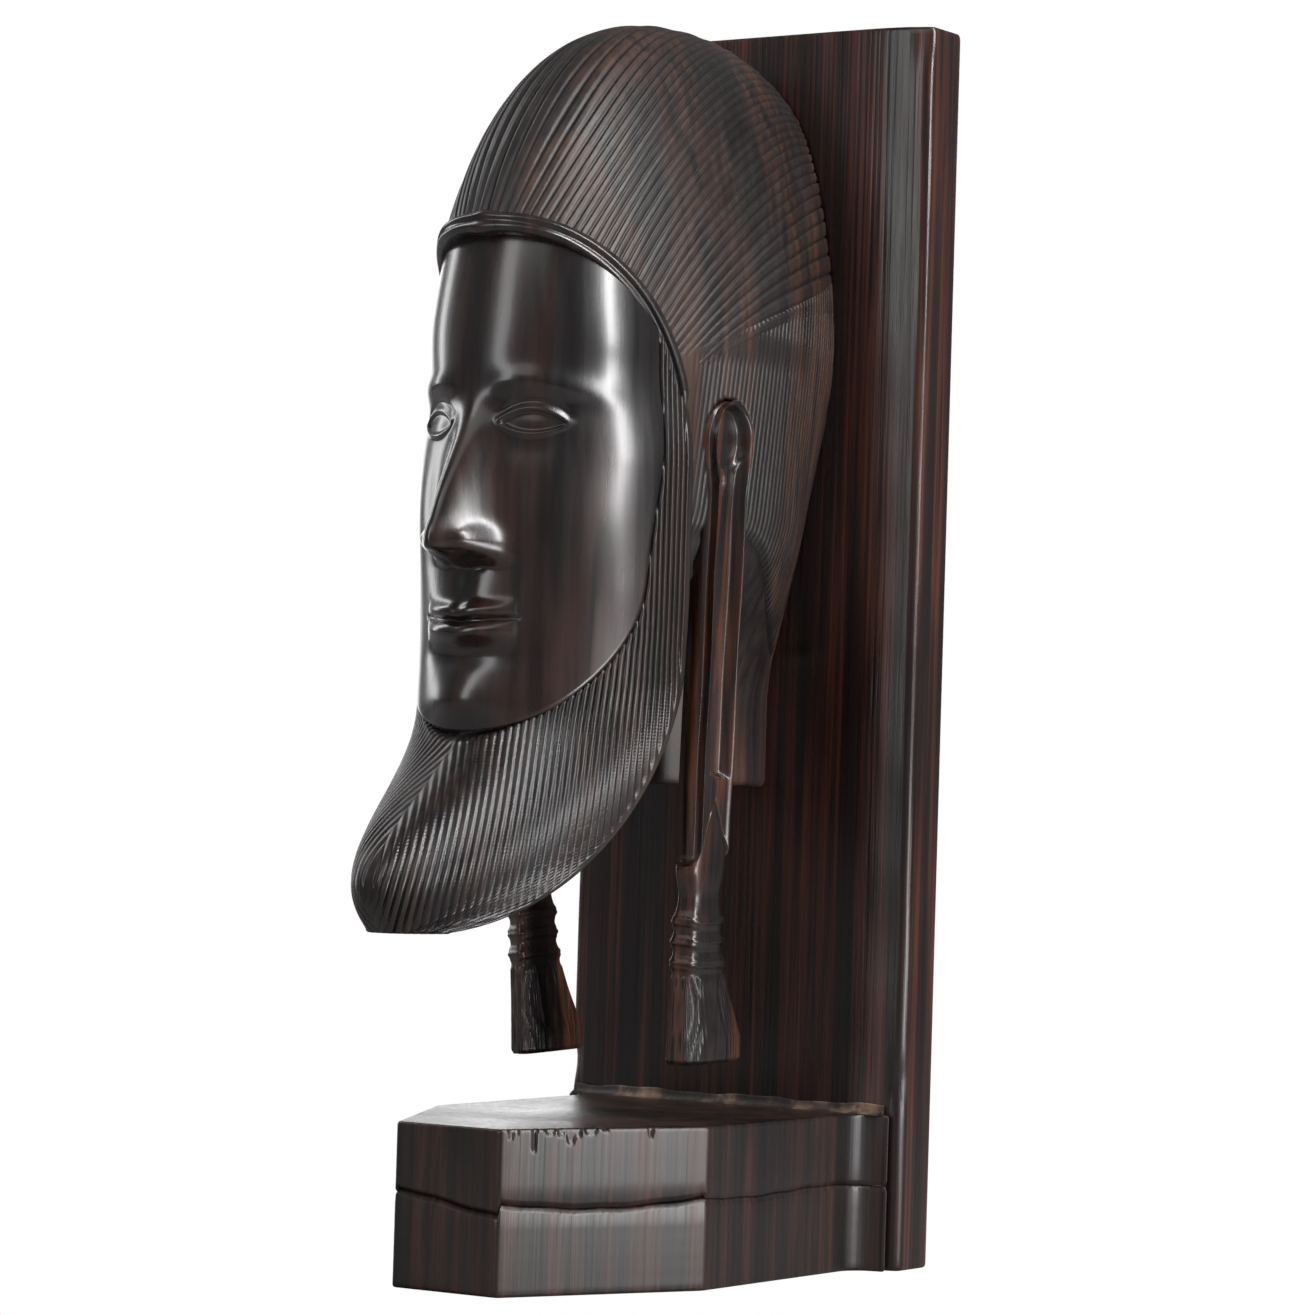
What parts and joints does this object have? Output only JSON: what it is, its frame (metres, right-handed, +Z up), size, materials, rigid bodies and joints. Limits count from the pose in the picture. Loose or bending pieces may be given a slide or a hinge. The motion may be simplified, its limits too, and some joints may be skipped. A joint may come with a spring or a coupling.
{
  "type": "carved wooden mask on a board",
  "caption": "Bearded head carved in dark hardwood, with ridged hair and long ear tassels, set on a tall back board with a chamfered plinth to rest on.",
  "frame": {"origin": "middle of the underside of the whole carving", "axes": "+Z up, the face looks along -Y, the back board closes the +Y side, +X is the head's left"},
  "size_m": [0.098, 0.168, 0.305],
  "materials": {
    "blackwood": "waxed and polished, near black with red-brown streaks",
    "board_wood": "waxed, straight red-brown and black vertical grain",
    "hair_wood": "satin, worn brown along the carved ridges",
    "face_wood": "polished to a soft gloss",
    "red_heartwood": "satin, red-brown heartwood with dark arrises",
    "dowel_wood": "raw turned dowel",
    "screw_brass": "plain countersunk wood screws"
  },
  "bodies": {
    "root": {"plinth_lower": "blackwood", "plinth_upper": "blackwood", "back_board": "board_wood", "head_block": "hair_wood", "face_mask": "face_wood", "ear_left": "red_heartwood", "ear_right": "red_heartwood", "tassel_left": "red_heartwood", "tassel_right": "red_heartwood", "plinth_dowels": "dowel_wood", "mask_dowels": "dowel_wood", "ear_dowels": "dowel_wood", "tassel_pegs": "dowel_wood", "plinth_screws": "screw_brass", "head_screws": "screw_brass", "screw_plugs": "board_wood"}
  },
  "joints": []
}
